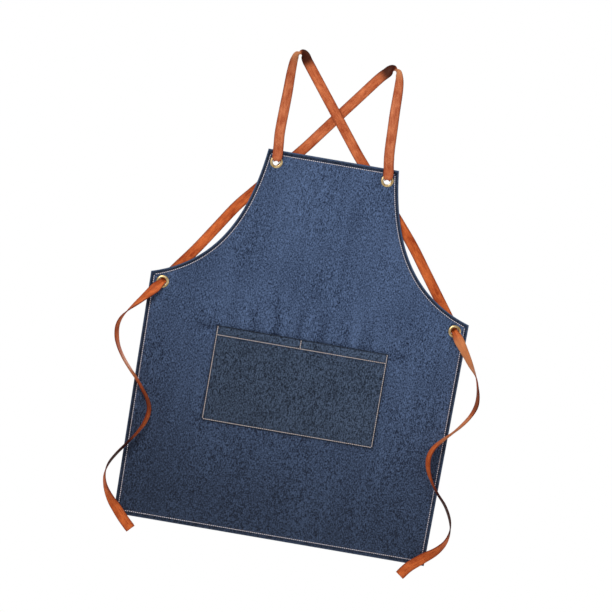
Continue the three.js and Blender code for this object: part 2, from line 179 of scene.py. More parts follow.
class Shader:
    """One material's node tree, with a short call for each kind of node used here."""

    def __init__(self, name):
        self.material = bpy.data.materials.new(name)
        self.material.use_nodes = True
        self.tree = self.material.node_tree
        self.surface = self.tree.nodes["Principled BSDF"]

    def node(self, kind, inputs=None, **settings):
        made = self.tree.nodes.new(kind)
        for key, value in settings.items():
            setattr(made, key, value)
        for key, value in (inputs or {}).items():
            self.set(made.inputs[key], value)
        return made

    def set(self, socket, value):
        if isinstance(value, bpy.types.NodeSocket):
            self.tree.links.new(value, socket)
        else:
            socket.default_value = value

    def value(self, operation, a, b=0.0, clamp=False):
        return self.node("ShaderNodeMath", {0: a, 1: b}, operation=operation, use_clamp=clamp).outputs[0]

    def add(self, a, b):
        return self.value("ADD", a, b)

    def times(self, a, b):
        return self.value("MULTIPLY", a, b)

    def place(self):
        return self.node("ShaderNodeTexCoord").outputs["Object"]

    def stored(self, name, output="Fac"):
        return self.node("ShaderNodeAttribute", attribute_name=name).outputs[output]

    def scaled(self, vector, scale):
        inputs = {"Vector": vector, "Scale": scale}
        return self.node("ShaderNodeMapping", inputs).outputs["Vector"]

    def swing(self, start, *parts):
        """A value that swings about start, by an amount for each (noise, amount)."""
        total = start
        for noise, amount in parts:
            total = self.add(total, self.times(self.add(noise, -0.5), amount))
        return total

    def noise(self, vector, scale=1.0, detail=2.0, roughness=0.5):
        inputs = {"Vector": vector, "Scale": scale, "Detail": detail, "Roughness": roughness}
        return self.node("ShaderNodeTexNoise", inputs).outputs["Fac"]

    def cells(self, vector, scale):
        inputs = {"Vector": vector, "Scale": scale}
        return self.node("ShaderNodeTexVoronoi", inputs).outputs["Distance"]

    def between(self, value, low, high, to_low=0.0, to_high=1.0):
        """Value from low..high, laid on to_low..to_high and held at the ends."""
        inputs = {"Value": value, "From Min": low, "From Max": high, "To Min": to_low, "To Max": to_high}
        return self.node("ShaderNodeMapRange", inputs).outputs["Result"]

    def mix(self, share, a, b):
        made = self.node("ShaderNodeMix", data_type="RGBA")
        self.set(made.inputs["Factor"], share)
        self.set(made.inputs[6], a)
        self.set(made.inputs[7], b)
        return made.outputs[2]

    def brighten(self, color, factor):
        """The colour times a value."""
        made = self.node("ShaderNodeVectorMath", {0: color}, operation="SCALE")
        self.set(made.inputs["Scale"], factor)
        return made.outputs[0]

    def bump(self, height, distance, strength=1.0, normal=None):
        inputs = {"Height": height, "Distance": distance, "Strength": strength}
        if normal is not None:
            inputs["Normal"] = normal
        return self.node("ShaderNodeBump", inputs).outputs["Normal"]

    def finish(self, **inputs):
        for key, value in inputs.items():
            self.set(self.surface.inputs[key.replace("_", " ")], value)
        return self.material


def rgb(red, green, blue):
    """A linear colour from the usual 0 to 255 numbers."""
    def linear(level):
        share = level / 255
        return share / 12.92 if share <= 0.04045 else ((share + 0.055) / 1.055) ** 2.4
    return (linear(red), linear(green), linear(blue), 1.0)


# ---------- materials ----------


def denim_material(name, dark, light, low_shade, contrast):
    """Blue twill: upright slubs, a finer crosswise thread, pale flecks, dark hems and worn edges, with
    painted highlights and painted shade at the folds round the pocket, and painted light that brightens it
    towards the right.
    """
    s = Shader(name)
    place = s.place()
    split = s.node("ShaderNodeSeparateXYZ", {"Vector": place}).outputs
    warp = s.noise(s.scaled(place, (620, 320, 200)), detail=2, roughness=0.6)
    fine_warp = s.noise(s.scaled(place, (1500, 700, 300)), detail=1)
    weft = s.noise(s.scaled(place, (230, 90, 600)), detail=2, roughness=0.6)
    fleck = s.noise(place, scale=640, detail=2, roughness=0.7)
    cloud = s.noise(s.scaled(place, (9, 9, 5)), detail=3, roughness=0.55)
    streak = s.noise(s.scaled(place, (75, 40, 7)), detail=2)
    across = s.times(split["X"], 2 * math.pi / 0.00092)
    down = s.times(split["Z"], 2 * math.pi / 0.00165)
    twill = s.value("SINE", s.add(across, down))

    threads = s.swing(0.0, (warp, 2.5), (weft, 1.7), (fleck, 1.2))
    stronger_below = s.between(split["Z"], -1.0, -0.5, 1.7 * contrast, contrast)
    tone = s.add(s.times(threads, stronger_below), 0.43)
    tone = s.swing(tone, (fine_warp, 0.7), (streak, 0.24), (cloud, 0.5))
    tone = s.add(tone, s.times(twill, 0.07))
    # the wear value carries real wear on the edges, the paler wrong side, and painted highlights and painted
    # shade at the folds round the pocket
    tone = s.add(tone, s.times(s.stored("wear"), 0.5))
    tone = s.value("MAXIMUM", tone, 0.0)
    color = s.mix(s.value("MINIMUM", tone, 1.0), dark, light)

    color = s.mix(s.between(split["Z"], -1.03, -0.5, 0.28, 0.0), color, rgb(66, 74, 92))
    height = s.between(split["Z"], -0.985, -0.52, low_shade, 1.0)
    # painted light: the cloth brightens from left to right, as if lit more from the right
    side = s.between(split["X"], -0.34, 0.20, 0.84, 1.06)
    hem_shade = s.between(split["Z"], -0.95, -0.70, 0.60, 0.25)
    shade = s.times(s.times(height, side), s.between(s.stored("hem"), 0, 1, 1.0, hem_shade))
    color = s.brighten(color, shade)

    weave = s.add(s.times(twill, 0.35), s.add(warp, s.times(weft, 0.6)))
    normal = s.bump(weave, 0.00035, 0.55)
    return s.finish(
        Base_Color=color,
        Roughness=0.88,
        Specular_IOR_Level=0.18,
        Sheen_Weight=0.12,
        Sheen_Roughness=0.5,
        Sheen_Tint=(0.75, 0.82, 1.0, 1.0),
        Normal=normal,
    )


def leather_material():
    """Tan split leather: cloudy dye, fine grain, dark edges, with painted shade and painted highlights where
    it bends over and curls.
    """
    s = Shader("leather")
    lay = s.stored("lay", "Vector")
    cloud = s.noise(s.scaled(lay, (22, 45, 60)), detail=4, roughness=0.6)
    patch = s.noise(s.scaled(lay, (75, 130, 90)), detail=3, roughness=0.65)
    pores = s.cells(s.scaled(lay, (1.0, 1.5, 1.0)), 900)
    grain = s.noise(s.scaled(lay, (1, 1.5, 1)), scale=460, detail=4, roughness=0.75)
    strand = s.noise(s.scaled(lay, (38, 420, 60)), detail=2)
    tone = s.swing(0.0, (cloud, 2.0), (patch, 1.1), (grain, 1.9), (strand, 1.0))
    tone = s.value("ADD", tone, 0.5, clamp=True)
    front = s.mix(tone, rgb(156, 62, 28), rgb(226, 136, 92))
    deep = s.mix(tone, rgb(150, 52, 18), rgb(236, 122, 62))
    color = s.mix(s.stored("deep"), front, deep)
    edge = s.stored("edge")
    crease = s.value("MULTIPLY", s.between(edge, 0.30, 0.62), s.between(edge, 0.95, 0.7, 0.45, 1.0))
    color = s.mix(s.times(crease, 0.34), color, rgb(120, 46, 24))
    color = s.mix(s.between(edge, 0.86, 0.98, 0, 0.80), color, rgb(104, 30, 14))
    painted_light = s.stored("painted_light")
    # painted shadow: above 0 the leather turns near-black maroon where it would shade itself inside its loops
    # and curls
    color = s.mix(s.between(painted_light, 0, 1, 0, 0.96), color, rgb(48, 4, 1))
    # painted highlight: below 0 the leather turns pale peach where light would catch it
    color = s.mix(s.between(painted_light, 0, -1, 0, 0.60), color, rgb(240, 170, 116))
    grain_height = s.add(s.times(pores, 0.5), grain)
    normal = s.bump(grain_height, 0.00022, 0.55)
    normal = s.bump(patch, 0.0006, 0.25, normal)
    roughness = s.between(s.add(grain, s.times(patch, 0.5)), 0.5, 1.0, 0.44, 0.60)
    return s.finish(
        Base_Color=color,
        Roughness=roughness,
        Specular_IOR_Level=0.26,
        Specular_Tint=(1.0, 0.62, 0.45, 1.0),
        Normal=normal,
    )


def thread_material(name, low, high):
    s = Shader(name)
    place = s.place()
    twist = s.noise(place, scale=1400, detail=1)
    age = s.noise(place, scale=60, detail=2)
    color = s.mix(s.value("ADD", s.times(twist, 0.6), s.times(age, 0.5), clamp=True), low, high)
    normal = s.bump(twist, 0.0002, 0.5)
    return s.finish(
        Base_Color=color, Roughness=0.72, Specular_IOR_Level=0.25, Sheen_Weight=0.15, Normal=normal,
    )


def brass_material():
    s = Shader("brass")
    place = s.place()
    wear = s.noise(place, scale=160, detail=4, roughness=0.6)
    scratch = s.noise(s.scaled(place, (900, 900, 2600)), detail=2)
    color = s.mix(s.between(wear, 0.35, 0.7), rgb(196, 158, 100), rgb(244, 222, 172))
    # painted shade: dark brown inside the eyelet's bore
    color = s.mix(s.times(s.stored("bore_shade"), 0.75), color, rgb(92, 56, 26))
    roughness = s.between(s.add(wear, scratch), 0.7, 1.3, 0.28, 0.44)
    normal = s.bump(scratch, 0.00006, 0.4)
    return s.finish(Base_Color=color, Metallic=1.0, Roughness=roughness, Normal=normal)


DENIM = denim_material("denim", rgb(15, 27, 51), rgb(106, 130, 172), 0.50, 0.90)
POCKET_DENIM = denim_material("pocket_denim", rgb(15, 26, 40), rgb(88, 106, 134), 0.78, 1.25)
LEATHER = leather_material()
THREAD = thread_material("pale_thread", rgb(216, 200, 206), rgb(255, 248, 255))
POCKET_THREAD = thread_material("tan_thread", rgb(218, 190, 180), rgb(255, 242, 236))
STRAP_THREAD = thread_material("strap_thread", rgb(128, 54, 26), rgb(178, 88, 48))
BRASS = brass_material()

# ---------- straps ----------

# A route's rows are (x, y, z, turn, width) in millimetres and degrees. At turn 0 the strap lies flat
# to the front, at 90 it stands on edge, and at 180 it shows its other face.
LEFT_STRAP = (
    (-121.4, -1.5, -191, 0, 22), (-120.4, -1.5, -204, 0, 22), (-120, -0.6, -209, 0, 22),
    (-119.7, 2.2, -213, 0, 22), (-119.4, 4.5, -217.5, 0, 21), (-119, 6.6, -226, 0, 18),
    (-119, 7, -232, 0, 15), (-119, 5.9, -237, 0, 13), (-119, 3.2, -238.8, 0, 12.6),
    (-119, -0.8, -238.8, 0, 12.6), (-119, -3.7, -238, 0, 12.6), (-119, -5.2, -234.5, 0, 18.5),
    (-119, -5.3, -229, 0, 21), (-119.3, -4.7, -219, 0, 21.5), (-120.3, -4.4, -205, 0, 22),
    (-122.2, -4.4, -180, 0, 22), (-121.4, -3.8, -130, 5, 22), (-120.4, -1.6, -94, 16, 22),
    (-119.8, 1.4, -41, 33, 22), (-117.8, 3.2, -20, 46, 22), (-112.5, 5.4, -9.2, 62, 22),
    (-104.5, 6.6, -5.4, 124, 22), (-97.5, 7.4, -9.4, 154, 22), (-90.5, 7.8, -19.5, 169, 22),
    (-80, 7.4, -33, 174, 22), (-45, 6.4, -78, 180, 22), (-8, 6, -125.5, 180, 22),
    (25, 6, -168, 180, 22), (51, 6, -201, 180, 22), (84, 6.2, -239, 180, 22),
    (120, 6.4, -280, 180, 22), (160, 6.6, -326, 180, 22), (198, 6.8, -371.5, 180, 22),
    (229, 7, -414, 180, 22), (260, 7.3, -456.5, 180, 22), (291, 7.6, -499, 180, 22),
    (303.8, 7.8, -517, 180, 21), (308.6, 7.6, -524, 180, 18.5), (311.2, 6.4, -527.7, 180, 15.5),
    (312.8, 4.4, -530, 180, 14.2), (313.5, 2.4, -531, 180, 14.2), (313.5, 1.2, -531, 180, 14.2),
)
RIGHT_STRAP = (
    (114.6, -1.5, -191, 0, 22), (115.9, -1.5, -204, 0, 22), (116.6, 0, -209, 0, 22),
    (117.3, 3.1, -213, 0, 22), (118, 5.2, -217.5, 0, 21), (119, 6.6, -226, 0, 18),
    (119, 7, -232, 0, 15), (119, 5.9, -237, 0, 13), (119, 3.2, -238.8, 0, 12.6),
    (119, -0.8, -238.8, 0, 12.6), (119, -3.7, -238, 0, 12.6), (119, -5.2, -234.5, 0, 18.5),
    (119, -5.3, -229, 0, 21), (118.2, -4.7, -219, 0, 21.5), (116, -4.4, -205, 0, 22),
    (113.4, -4.4, -180, 0, 22), (111.6, -3.8, -130, -5, 22), (110.4, -1.8, -96, -13, 22),
    (109.6, 1.2, -43, -29, 22), (107.3, 3.2, -22, -46, 22), (101.8, 5.4, -10.4, -62, 22),
    (93.5, 6.8, -6.2, -124, 22), (86.5, 8.2, -9.2, -154, 22), (79.5, 9.2, -16.5, -169, 22),
    (69, 9.8, -27, -174, 22), (32, 10.4, -75, -180, 22), (-7, 10.6, -126, -180, 22),
    (-38, 10.6, -167, -180, 22), (-63.5, 10.6, -200.5, -180, 22), (-93, 10.2, -236, -180, 22),
    (-124, 9.6, -273, -180, 22), (-155, 9, -310, -180, 22), (-186, 8.4, -347.5, -180, 22),
    (-221, 8, -400, -180, 22), (-256, 7.6, -452.5, -180, 22), (-290, 7.6, -498, -180, 22),
    (-303.6, 7.8, -517, -180, 21), (-308.5, 7.6, -524, -180, 18.5), (-311.1, 6.4, -527.7, -180, 15.5),
    (-312.8, 4.4, -530, -180, 14.2), (-313.5, 2.4, -531, -180, 14.2), (-313.5, 1.2, -531, -180, 14.2),
)
LEFT_TIE = (
    (-313.5, 0.85, -531, 0, 14.2), (-313.5, -0.6, -531, 0, 14.2), (-314.8, -3.2, -532.7, 0, 14.2),
    (-317, -5.2, -535.4, 0, 15.4), (-321.5, -6.4, -540.8, -8, 18.4), (-327, -7.6, -547.4, -18, 21),
    (-336, -9.6, -558, -36, 22), (-347, -12, -571, -53, 22), (-360, -13.4, -586, -67, 22),
    (-377, -14.4, -606, -90, 22), (-387, -14.4, -621.5, -103, 22), (-391.5, -14.2, -640, -111, 22),
    (-389, -14, -662, -113, 22), (-382.5, -14.2, -680, -108, 22), (-369, -14.4, -702, -105, 22),
    (-350, -14.4, -724.5, -104, 22), (-333, -14.4, -742.5, -103, 22), (-316.5, -14.4, -763, -104, 22),
    (-302.5, -14.2, -782.5, -107, 22), (-295.5, -14, -803, -111, 22), (-299, -14, -828, -110, 22),
    (-312, -14.4, -855, -100, 22), (-330, -14.6, -881, -100, 22), (-348.5, -14.6, -907, -101, 22),
    (-361.5, -14.4, -931.5, -97, 22), (-365, -14.2, -954.5, -83, 22), (-359.5, -13.6, -976.5, -70, 22),
    (-344.5, -11.4, -1001.5, -44, 22), (-328, -8.2, -1020, -18, 22), (-310, -6.4, -1040, -4, 22),
    (-291.5, -6, -1058, 0, 22),
)
RIGHT_TIE = (
    (313.5, 0.85, -531, 0, 14.2), (313.5, -0.6, -531, 0, 14.2), (314.8, -3.2, -532.7, 0, 14.2),
    (316.8, -5.2, -535.5, 0, 15.4), (320.6, -6.4, -541, 8, 18.4), (327, -7.8, -550, 18, 21),
    (338, -9.8, -565, 36, 22), (348.5, -12, -580, 50, 22), (358.5, -13.2, -595, 62, 22),
    (374.5, -14.4, -619, 90, 22), (381.5, -14.4, -640, 97, 22), (385.5, -14.2, -660, 106, 22),
    (385, -14, -680, 112, 22), (376.5, -14.2, -702.5, 108, 22), (361.5, -14.4, -725, 104, 22),
    (345, -14.4, -744, 98, 22), (327, -14.4, -762.5, 106, 22), (311, -14.2, -782.5, 113, 22),
    (304.5, -13.8, -803, 116, 22), (307.5, -13.8, -827, 112, 22), (320.5, -14.4, -854.5, 99, 22),
    (336.5, -14.6, -876, 99, 22), (356, -14.6, -898.5, 101, 22), (370.5, -14.4, -925.5, 99, 22),
    (375, -14.2, -948, 88, 22), (370, -13.8, -972.5, 70, 22), (354.5, -11.6, -994.5, 46, 22),
    (326.5, -8, -1017, 14, 22), (300.5, -6.4, -1039.5, 3, 22), (285.5, -6, -1059, 0, 22),
)


def spline(rows, steps):
    """The centripetal Catmull-Rom curve through the rows, its last columns carried along with x, y, z."""
    rows = np.array(rows, float)
    rows = np.vstack([2 * rows[0] - rows[1], rows, 2 * rows[-1] - rows[-2]])
    knots = np.sqrt(np.maximum(np.linalg.norm(np.diff(rows[:, :3], axis=0), axis=1), 1e-4))
    found = []
    for i in range(1, len(rows) - 2):
        p0, p1, p2, p3 = rows[i - 1:i + 3]
        d0, d1, d2 = knots[i - 1:i + 2]
        start = ((p1 - p0) / d0 - (p2 - p0) / (d0 + d1) + (p2 - p1) / d1) * d1
        end = ((p2 - p1) / d1 - (p3 - p1) / (d1 + d2) + (p3 - p2) / d2) * d1
        for step in range(steps):
            w = step / steps
            found.append(
                p1 + start * w
                + (3 * (p2 - p1) - 2 * start - end) * w ** 2
                + (2 * (p1 - p2) + start + end) * w ** 3
            )
    found.append(rows[-2])
    return np.array(found)


def across_directions(tangents):
    """The direction across each place as seen from the front, steady where the strap runs front to back."""
    flat = np.stack([tangents[:, 2], np.zeros(len(tangents)), -tangents[:, 0]], axis=1)
    lengths = np.linalg.norm(flat, axis=1)
    STEADY = 0.12
    last = unit(flat[np.argmax(lengths > STEADY)])
    found = []
    for direction, length in zip(flat, lengths):
        if length > STEADY:
            last = direction / length * (1 if direction @ last >= 0 else -1)
        found.append(last)
    return np.array(found)


def strap_section(width, sign, cup):
    """A strap's cut end as (across, rise) points, with how far across and how near an edge each one is."""
    thick = STRAP_HALF_THICK
    gather = np.clip((STRAP_WIDTH - width) / (STRAP_WIDTH - GATHERED), 0, 1)
    angle = max(MOST_CUP * gather, cup, 0.02)
    radius = (width / 2 - thick) / math.sin(angle)
    middle = radius * math.sin(angle) / angle

    def at(phi, out, along=0.0):
        centre = np.array([radius * math.sin(phi), sign * (radius * math.cos(phi) - middle)])
        tangent = np.array([math.cos(phi), -sign * math.sin(phi)])
        normal = np.array([sign * math.sin(phi), math.cos(phi)])
        return centre + normal * out + tangent * along

    points, share, rim = [], [], []
    for side in (1, -1):
        for k in np.linspace(-1, 1, FACE_POINTS) * side:
            crown = 0.12 * (1 - k * k)
            groove = 0.14 * math.exp(-((abs(k) - 0.80) / 0.07) ** 2)
            points.append(at(k * angle, side * (thick + crown - groove)))
            share.append(k)
            rim.append(smoothstep(0.55, 1.0, abs(k)) * 0.9)
        for step in range(1, EDGE_POINTS):
            turn = math.pi * step / EDGE_POINTS
            out, along = side * thick * math.cos(turn), side * thick * math.sin(turn)
            points.append(at(side * angle, out, along))
            share.append(side)
            rim.append(1.0)
    return np.array(points), np.array(share), np.array(rim)


def strap_mesh(name, route, holes, apex=False, painted_bands=()):
    """A strap along its route. Each hole is (x, z, hug): an eyelet and the way the middle leans in it.

    Each band of painted light is (low, high, amount): painted shade between two heights, or painted highlight
    where the amount is below 0.
    """
    rows = spline(route, STEPS_PER_SPAN)
    centres, turns, widths = rows[:, :3], np.radians(rows[:, 3]), rows[:, 4]
    widths = np.minimum(widths * FULLNESS, STRAP_WIDTH)
    tangents = unit(np.gradient(centres, axis=0))
    across = across_directions(tangents)
    edge = across * np.cos(turns)[:, None] + FRONT * np.sin(turns)[:, None]
    edge = unit(edge - tangents * np.sum(edge * tangents, axis=1, keepdims=True))
    rise = np.cross(tangents, edge)
    along = lengths_along(centres)

    HOLE_REACH = 45  # how far along the strap a hole decides which way it curls
    sign = np.ones(len(rows))
    for x, z, hug in holes:
        nearest = int(np.argmin(np.linalg.norm(centres - np.array([x, 0, z]), axis=1)))
        lean = 1 if rise[nearest] @ np.array(hug) > 0 else -1
        sign[np.abs(along - along[nearest]) < HOLE_REACH] = lean

    # a painted light value for each ring: above 0 painted shade, below 0 painted highlight
    painted_light, cup = np.zeros(len(rows)), np.zeros(len(rows))
    if apex:
        past = along - along[int(np.argmax(centres[:, 2]))]
        cup = LOOP_CUP * np.exp(-(past / 16) ** 2)
        # painted shadow just past the top of each loop, on the face that turns down inside it
        painted_light += band(-4, 1, 18, 40, past)
        # painted highlight on the rising face just before the top
        painted_light -= band(-34, -6, -6, -1, past)

    # painted shade, or painted highlight where the amount is below 0, in bands of height along the ties'
    # curls
    for low, high, amount in painted_bands:
        painted_light += amount * band(low - 14, low + 10, high - 10, high + 14, centres[:, 2])

    END_BEVEL = 0.45
    rings = []
    for i, centre in enumerate(centres):
        section, share, rim = strap_section(widths[i], sign[i], cup[i])
        if i in (0, len(centres) - 1):
            section = section * (1 - END_BEVEL * 2 / widths[i])
        rings.append(centre + edge[i] * section[:, :1] + rise[i] * section[:, 1:])
    around = len(rings[0])
    faces = tube_faces(0, len(rings), around)
    faces += end_cap(0, around, False) + end_cap((len(rings) - 1) * around, around, True)
    FACE_SHIFT = 0.05  # metres that set one face's pattern apart from the other's
    lay = np.array([
        (along[i] * MM, share[j] * STRAP_WIDTH / 2 * MM, (FACE_SHIFT if j < around / 2 else 0.0))
        for i in range(len(rings)) for j in range(around)
    ])
    deep = np.ones((len(rings), around))
    if apex:  # the side that shows in front is paler, and so is the other near the loop
        deep = deep - 0.65 * smoothstep(-250, -190, centres[:, 2])[:, None]
        deep[:, : around // 2 + 1] = 0
    attributes = {
        "lay": lay,
        "edge": np.tile(rim, len(rings)),
        "painted_light": np.repeat(painted_light, around),
        "deep": deep.ravel(),
    }
    return add_piece(name, np.vstack(rings), faces, LEATHER, attributes)


def end_cap(first, around, flip):
    """Quads that close a strap's end, from one face to the other, and a face at each rounded edge."""
    half = around // 2
    faces = []
    for k in range(FACE_POINTS - 1):
        opposite = half + FACE_POINTS - 1 - k
        faces.append((first + k, first + k + 1, first + opposite - 1, first + opposite))
    right = [first + k for k in range(FACE_POINTS - 1, half + 1)]
    left = [first + (half + k) % around for k in range(FACE_POINTS - 1, half + 1)]
    faces += [tuple(right), tuple(left)]
    return [tuple(reversed(f)) for f in faces] if flip else faces


UP = (0, 0, 1)


def bib_hole(side):
    return (side * BIB_EYELET[0], BIB_EYELET[1], UP)


def waist_hole(side):
    outwards_down = (side * 0.57, 0, -0.82)
    return (side * WAIST_EYELET[0], WAIST_EYELET[1], outwards_down)


def add_straps():
    for name, side, route in (("left", -1, LEFT_STRAP), ("right", 1, RIGHT_STRAP)):
        strap = strap_mesh(f"strap_{name}_leather", route, [bib_hole(side), waist_hole(-side)], apex=True)
        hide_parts(f"shoulder_strap_{name}")
        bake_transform(strap)


# Painted light on the ties as (low, high, amount): painted shadow on faces turned away inside the curls,
# painted highlight below 0
LEFT_TIE_PAINTED_LIGHT = ((-940, -868, 1.0), (-800, -765, 0.5), (-740, -700, -0.5))
RIGHT_TIE_PAINTED_LIGHT = ((-958, -868, 1.0), (-765, -705, -0.5), (-690, -640, 0.6), (-612, -545, -0.75))


def add_ties():
    for name, side, route, painted_bands in (
        ("left", -1, LEFT_TIE, LEFT_TIE_PAINTED_LIGHT), ("right", 1, RIGHT_TIE, RIGHT_TIE_PAINTED_LIGHT),
    ):
        tie = strap_mesh(f"tie_{name}_leather", route, [waist_hole(side)], painted_bands=painted_bands)
        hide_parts(f"tie_{name}")
        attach(tie, f"{name}_tie")
        path = spline(route, 4)[:, :3]
        float(lengths_along(path)[-1]) * MM


add_straps()
add_ties()

# ---------- how the cloth hangs ----------


def drape(x, z):
    """How far the cloth stands back from its flat plane: soft upright folds that deepen to the hem."""
    skirt = smoothstep(-560, -1000, z)
    lean = 14 * np.sin(z / 260.0)
    wide = 0.5 + 0.5 * np.sin((x + lean) / 31.0 + 0.5 * np.sin(x / 83.0))
    broad = 0.5 + 0.5 * np.cos((x - 2 * lean) / 74.0 + 0.9)
    pocket = (1 - smoothstep(150, 230, np.abs(x))) * band(-850, -800, -600, -560, z)
    depth = (3.4 * wide + 4.2 * broad) * skirt * (1 - 0.45 * pocket)
    gathers = 0.5 + 0.5 * np.sin(x / 11.2 + 0.4)
    above = (1 - smoothstep(110, 185, np.abs(x))) * band(-640, -596, -560, -500, z)
    depth = depth + 1.3 * gathers * above
    bib = (1 - smoothstep(30, 118, np.abs(x))) * smoothstep(-470, -300, z)
    depth = depth + 1.2 * bib * (0.5 + 0.5 * np.cos(x / 40.0))
    ripple = np.sin(x / 47.0 + z / 90.0) * np.sin(z / 66.0 - x / 130.0)
    calm = np.ones_like(x)
    for px, pz in (BIB_EYELET, WAIST_EYELET):
        gap = np.hypot(np.abs(x) - px, z - pz)
        calm = calm * smoothstep(16, 75, gap)
    return (depth + 0.7 * (ripple + 0.6)) * calm


# ---------- cloth panel ----------


def painted_fold_light(x, z):
    """Where the front is paler (above 0) or darker, as painted light: painted highlights on the gathers over
    the pocket, painted shade at its top corners and a painted shadow round its edges.
    """
    over = (1 - smoothstep(120, 190, np.abs(x))) * band(-612, -596, -575, -505, z)
    gathers = 0.20 * over * (np.sin(x / 7.6) + 0.5 * np.sin(x / 4.1 + 1))
    corners = np.exp(-((np.abs(x) - 206) / 20) ** 2 - ((z + 604) / 11) ** 2)
    out = np.maximum(np.abs(x) - POCKET_HALF, np.maximum(z - POCKET_TOP, POCKET_BOTTOM - z))
    return gathers - 0.45 * corners - 0.30 * np.exp(-(out / 5) ** 2)


def armhole(steps):
    """The armhole's edge on the right, from the bib's corner to the waist's corner."""
    ends = [(BIB_HALF, BIB_TOP), *ARMHOLE_HANDLES, (WAIST_HALF, WAIST)]
    a, b, c, d = (np.array(p, float) for p in ends)
    t = np.linspace(0, 1, steps + 1)[:, None]
    return a * (1 - t) ** 3 + 3 * b * t * (1 - t) ** 2 + 3 * c * t ** 2 * (1 - t) + d * t ** 3


def evenly(points, step):
    """The same line with points about a step apart."""
    along = lengths_along(points)
    count = max(2, round(along[-1] / step))
    places = np.linspace(0, along[-1], count + 1)
    return np.stack([np.interp(places, along, points[:, k]) for k in range(points.shape[1])], axis=1)


def outline_parts():
    """The panel's outline, anticlockwise from the front, as (name, points, stitch inset)."""
    right = armhole(80)
    parts = [
        ("thread_bottom", [(-BOTTOM_HALF, BOTTOM), (BOTTOM_HALF, BOTTOM)], BOTTOM_INSET),
        ("thread_side_right", [(BOTTOM_HALF, BOTTOM), (WAIST_HALF, WAIST)], SIDE_INSET),
        ("thread_armhole_right", right[::-1], SIDE_INSET),
        ("thread_top", [(BIB_HALF, BIB_TOP), (-BIB_HALF, BIB_TOP)], TOP_INSET),
        ("thread_armhole_left", right * (-1, 1), SIDE_INSET),
        ("thread_side_left", [(-WAIST_HALF, WAIST), (-BOTTOM_HALF, BOTTOM)], SIDE_INSET),
    ]
    return [(name, evenly(np.array(points, float), OUTLINE_STEP), inset) for name, points, inset in parts]


def inward_normals(points):
    along = unit(np.gradient(points, axis=0))
    return np.stack([-along[:, 1], along[:, 0]], axis=1)


CORNER_REACH = 60.0  # how far along an edge its points make room for a corner


def inset_parts(parts, distances):
    """Each part moved inwards by its own distance, with its ends at the corners that the moved edges make."""
    moved = [points + inward_normals(points) * d for (_, points, _), d in zip(parts, distances)]
    count = len(parts)
    corners = []
    for i in range(count):
        before, after = (i - 1) % count, i
        n1 = inward_normals(parts[before][1])[-1]
        n2 = inward_normals(parts[after][1])[0]
        shift = np.linalg.solve(np.array([n1, n2]), np.array([distances[before], distances[after]]))
        corners.append(parts[after][1][0] + shift)
    for i in range(count):
        along = lengths_along(parts[i][1])
        for near, corner, end in ((along, corners[i], 0), (along[-1] - along, corners[(i + 1) % count], -1)):
            share = np.clip(1 - near / CORNER_REACH, 0, 1) ** 2
            moved[i] = moved[i] + (corner - moved[i][end]) * share[:, None]
    return moved


def closed(parts):
    """One loop from parts that each end where the next begins."""
    return np.vstack([part[:-1] for part in parts])


def puckers(parts):
    """A small wave along the outline, as stitching draws hems up."""
    waves = []
    for name, points, _ in parts:
        along = lengths_along(points)[:-1]
        phase = 1.7 * np.sin(along / 23.0) + 1.1 * np.sin(along / 61.0 + len(name))
        waves.append(np.sin(along * 2 * math.pi / 11.5 + phase))
    return np.concatenate(waves)


def panel_rings(parts):
    """Rings from the outline inwards on the front and on the back, each (loop, depth, hem, wear)."""
    insets = np.array([inset for _, _, inset in parts])
    middle, half = (CLOTH_FRONT + HEM_BACK) / 2, (HEM_BACK - CLOTH_FRONT) / 2
    wave = puckers(parts)
    even = np.ones(len(parts))
    LAST = HEM_WIDTH + 0.2

    def ring(distances, depth, pucker=0.0, hem=1.0, wear=0.0):
        loop = closed(inset_parts(parts, distances))
        return loop, depth + wave * pucker, np.full(len(loop), hem), wear + np.abs(wave) * wear

    front, back = [], []
    for turn in np.radians((22, 45, 68, 90)):
        inset = even * half * (1 - math.cos(turn))
        front.append(ring(inset, middle - half * math.sin(turn), 0.02, 0.7, 0.9))
        back.append(ring(inset, middle + half * math.sin(turn), 0.02, 0.7, 0.9))
    for share, offset, depth, pucker, hem in (
        (0.45, 0, -0.10, 0.16, 1.0), (1, -1.8, -0.05, 0.26, 0.95), (1, -0.7, 0.28, 0.16, 0.8),
        (1, 0, 0.42, 0.10, 0.65), (1, 0.7, 0.28, 0.16, 0.45), (1, 1.8, 0.0, 0.22, 0.2),
    ):
        front.append(ring(insets * share + offset, CLOTH_FRONT + depth, pucker, hem))
    front.append(ring(even * LAST, CLOTH_FRONT, 0.0, 0.0))
    for share, offset, depth in ((0.5, 0, 0.0), (1, -0.8, -0.05), (1, 0, -0.30), (1, 0.8, -0.05)):
        back.append(ring(insets * share + offset, HEM_BACK + depth, 0.12, 0.8))
    for offset, depth in ((0.8, HEM_BACK - 0.05), (0.35, HEM_BACK - 0.35), (0.22, CLOTH_BACK + 0.5)):
        back.append(ring(even * (LAST - offset), depth, 0.0, 0.6))
    back.append(ring(even * LAST, CLOTH_BACK, 0.0, 0.0))
    return front, back


FRONT_STITCH_RING, BACK_STITCH_RING = 7, 6


def eyelet_places():
    places = []
    for name, (x, z) in (("bib", BIB_EYELET), ("waist", WAIST_EYELET)):
        places += [(f"{name}_left", -x, z), (f"{name}_right", x, z)]
    return places


def within(points, loop):
    """Which points lie inside a closed loop, by how often a line to the right crosses it."""
    inside = np.zeros(len(points), bool)
    for (x1, z1), (x2, z2) in zip(loop, np.roll(loop, -1, axis=0)):
        spans = (z1 > points[:, 1]) != (z2 > points[:, 1])
        if z1 != z2:
            crossing = x1 + (points[:, 1] - z1) / (z2 - z1) * (x2 - x1)
            inside ^= spans & (points[:, 0] < crossing)
    return inside


